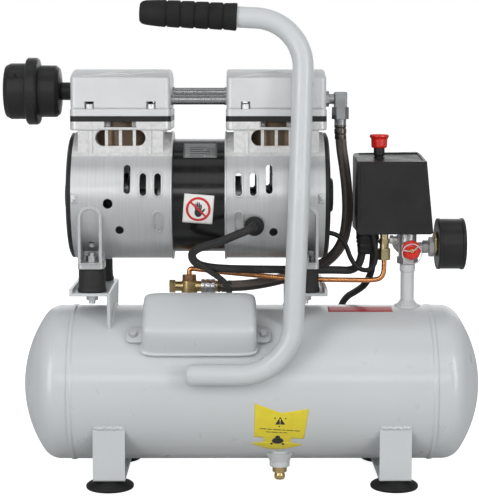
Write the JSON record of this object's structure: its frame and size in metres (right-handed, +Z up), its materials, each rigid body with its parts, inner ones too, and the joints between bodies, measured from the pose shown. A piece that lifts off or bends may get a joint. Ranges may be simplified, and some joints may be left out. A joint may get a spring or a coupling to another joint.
{
  "type": "air compressor",
  "caption": "Small oil-free piston air compressor on a horizontal tank, with pressure switch, gauge, carrying handle and mains cord.",
  "frame": {"origin": "on the floor, at the middle of the bounding box without the mains cord", "axes": "+X along the tank towards the gauge, -Y towards the front with the handle, +Z up"},
  "size_m": [0.4698, 0.2904, 0.4709],
  "materials": {
    "tank_paint": "satin light grey powder coat",
    "grey_casting": "fine-textured paint on a casting",
    "head_casting": "fine-textured paint on a casting",
    "black_steel": "gloss black",
    "black_plastic": "fine texture",
    "black_rubber": "matt",
    "brass": "machined",
    "copper": "drawn copper tube",
    "bright_steel": "zinc plated",
    "aluminium": "machined or cast",
    "black_gasket": "black",
    "red_plastic": "moulded",
    "gauge_black": "black enamel",
    "dial_white": "printed dial",
    "clear_lens": "clear",
    "hose": "braided cover",
    "grey_plastic": "moulded"
  },
  "bodies": {
    "frame": {"tank_shell": "tank_paint", "tank_head_left": "tank_paint", "tank_head_right": "tank_paint", "leg_left": "tank_paint", "leg_right": "tank_paint", "riser_pipe": "tank_paint", "bracket_left": "tank_paint", "bracket_right": "tank_paint", "handle_tube": "tank_paint", "capacitor_cover": "tank_paint", "crankcase_left": "grey_casting", "crankcase_right": "grey_casting", "head_cover_left": "head_casting", "head_cover_right": "head_casting", "motor_can": "black_steel", "end_cover_left": "black_plastic", "end_cover_right": "black_plastic", "filter_housing": "black_plastic", "filter_cap": "black_plastic", "switch_cover": "black_plastic", "cable_glands": "black_plastic", "mains_plug": "black_plastic", "rubber_feet": "black_rubber", "rubber_mounts": "black_rubber", "handle_grip": "black_rubber", "mains_cord": "black_rubber", "cord_coil": "black_rubber", "motor_cables": "black_rubber", "drain_valve": "brass", "safety_valve_body": "brass", "check_valve": "brass", "unloader_valve": "brass", "unloader_tube": "copper", "manifold": "bright_steel", "discharge_elbow": "bright_steel", "pan_head_screws": "bright_steel", "mount_bolts": "bright_steel", "head_bolts": "bright_steel", "switch_base": "bright_steel", "outlet_coupler": "bright_steel", "bearings": "bright_steel", "stator": "bright_steel", "cylinder_liners": "aluminium", "transfer_tubes": "aluminium", "capacitor": "aluminium", "valve_plates": "black_gasket", "gauge_case": "gauge_black", "gauge_dial": "dial_white", "gauge_lens": "clear_lens", "discharge_hose": "hose", "switch_contact_block": "grey_plastic"},
    "crankshaft": {"rotor_shaft": "bright_steel", "cooling_fans": "black_plastic"},
    "rod_left": {"piston_left": "aluminium"},
    "rod_right": {"piston_right": "aluminium"},
    "knob": {"switch_knob": "red_plastic"},
    "needle": {"gauge_needle": "gauge_black"},
    "drain": {"drain_screw": "brass"},
    "safety": {"safety_ring": "red_plastic"},
    "sleeve": {"coupler_sleeve": "bright_steel"}
  },
  "joints": [
    {"name": "crank_spin", "type": "hinge", "parent": "frame", "child": "crankshaft", "pos_m": [-0.04338, 0.00675, 0.2809], "axis": [1, 0, 0], "continuous": true},
    {"name": "rod_left_pin", "type": "hinge", "parent": "crankshaft", "child": "rod_left", "pos_m": [-0.11838, 0.00675, 0.2869], "axis": [1, 0, 0], "continuous": true},
    {"name": "rod_right_pin", "type": "hinge", "parent": "crankshaft", "child": "rod_right", "pos_m": [0.03162, 0.00675, 0.2749], "axis": [1, 0, 0], "continuous": true},
    {"name": "knob_push", "type": "slide", "parent": "frame", "child": "knob", "axis": [0, 0, 1], "range_m": [-0.005, 0]},
    {"name": "needle_sweep", "type": "hinge", "parent": "frame", "child": "needle", "pos_m": [0.21242, 0.00675, 0.232], "axis": [-1, 0, 0], "range_deg": [0, 270], "stiffness_Nm_per_rad": 0.0002},
    {"name": "drain_turn", "type": "hinge", "parent": "frame", "child": "drain", "pos_m": [0.03562, -0.03325, 0.01], "axis": [0, 0, 1], "range_deg": [0, 540]},
    {"name": "safety_pull", "type": "slide", "parent": "frame", "child": "safety", "axis": [0, -1, 0], "range_m": [0, 0.003], "stiffness_N_per_m": 2000, "springref_m": -0.002},
    {"name": "sleeve_slide", "type": "slide", "parent": "frame", "child": "sleeve", "axis": [0, -1, 0], "range_m": [0, 0.005], "stiffness_N_per_m": 400, "springref_m": -0.003}
  ],
  "couplings": [
    {"joint": "rod_left_pin", "follows": "crank_spin", "ratio": -1},
    {"joint": "rod_right_pin", "follows": "crank_spin", "ratio": -1}
  ]
}
